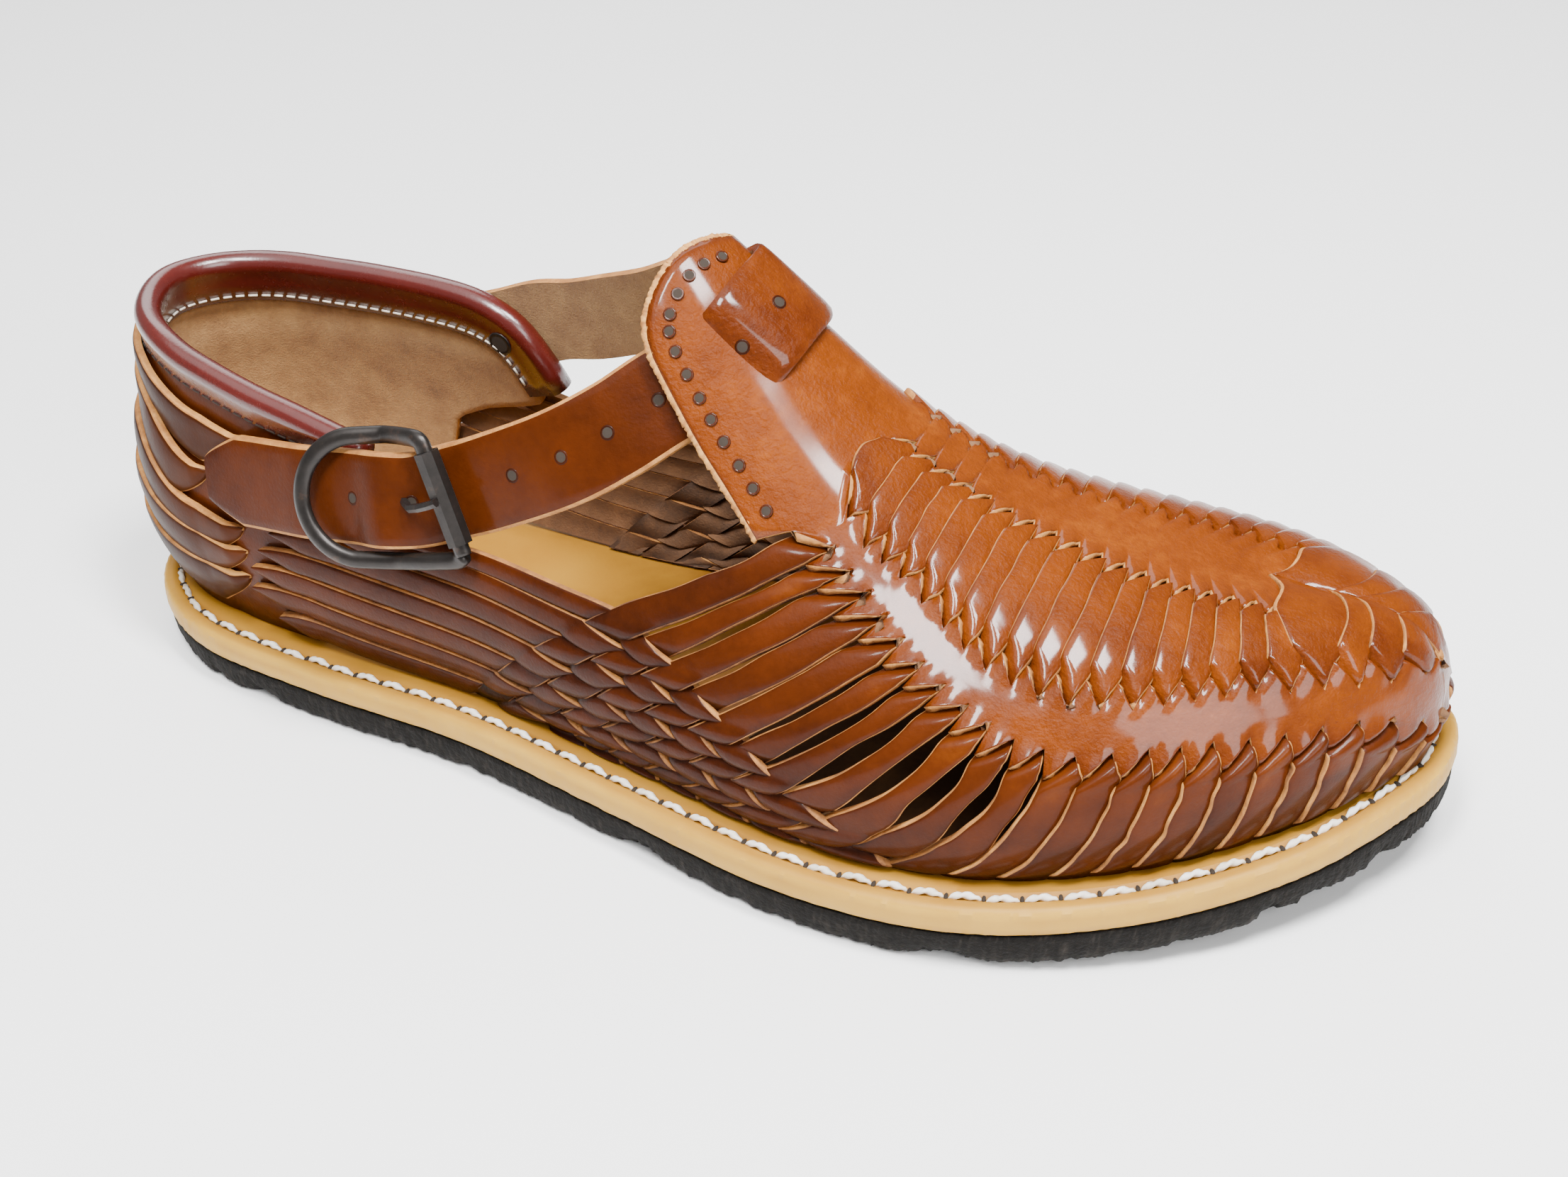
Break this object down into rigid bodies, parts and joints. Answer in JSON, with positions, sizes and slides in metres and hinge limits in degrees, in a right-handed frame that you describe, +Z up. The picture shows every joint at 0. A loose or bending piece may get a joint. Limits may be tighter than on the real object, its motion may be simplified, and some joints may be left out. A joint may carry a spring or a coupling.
{
  "type": "leather sandal",
  "caption": "Woven leather sandal for the right foot, closed toe, slotted tongue, ankle strap with buckle, stitched leather and rubber sole.",
  "frame": {"origin": "on the floor under the middle of the heel, a flat spot of the outsole", "axes": "+X towards the toe, +Y towards the inner side of the foot, +Z up"},
  "size_m": [0.2902, 0.1094, 0.1078],
  "materials": {
    "outsole_rubber": "matt black tyre rubber, torn along its lower edge",
    "sole_leather": "natural sole leather, golden on top, pale at the edge",
    "upper_leather": "glossy cognac leather with pale cut edges",
    "binding_leather": "glossy burgundy leather",
    "strap_leather": "reddish brown leather",
    "buckle_metal": "dark gunmetal",
    "rivet_metal": "nickel"
  },
  "bodies": {
    "root": {"outsole": "outsole_rubber", "midsole": "sole_leather", "upper": "upper_leather", "heel_binding": "binding_leather", "ankle_strap": "strap_leather", "buckle_tab": "strap_leather", "buckle_frame": "buckle_metal", "buckle_roller": "buckle_metal", "buckle_prong": "buckle_metal", "strap_rivet": "rivet_metal"}
  },
  "joints": []
}
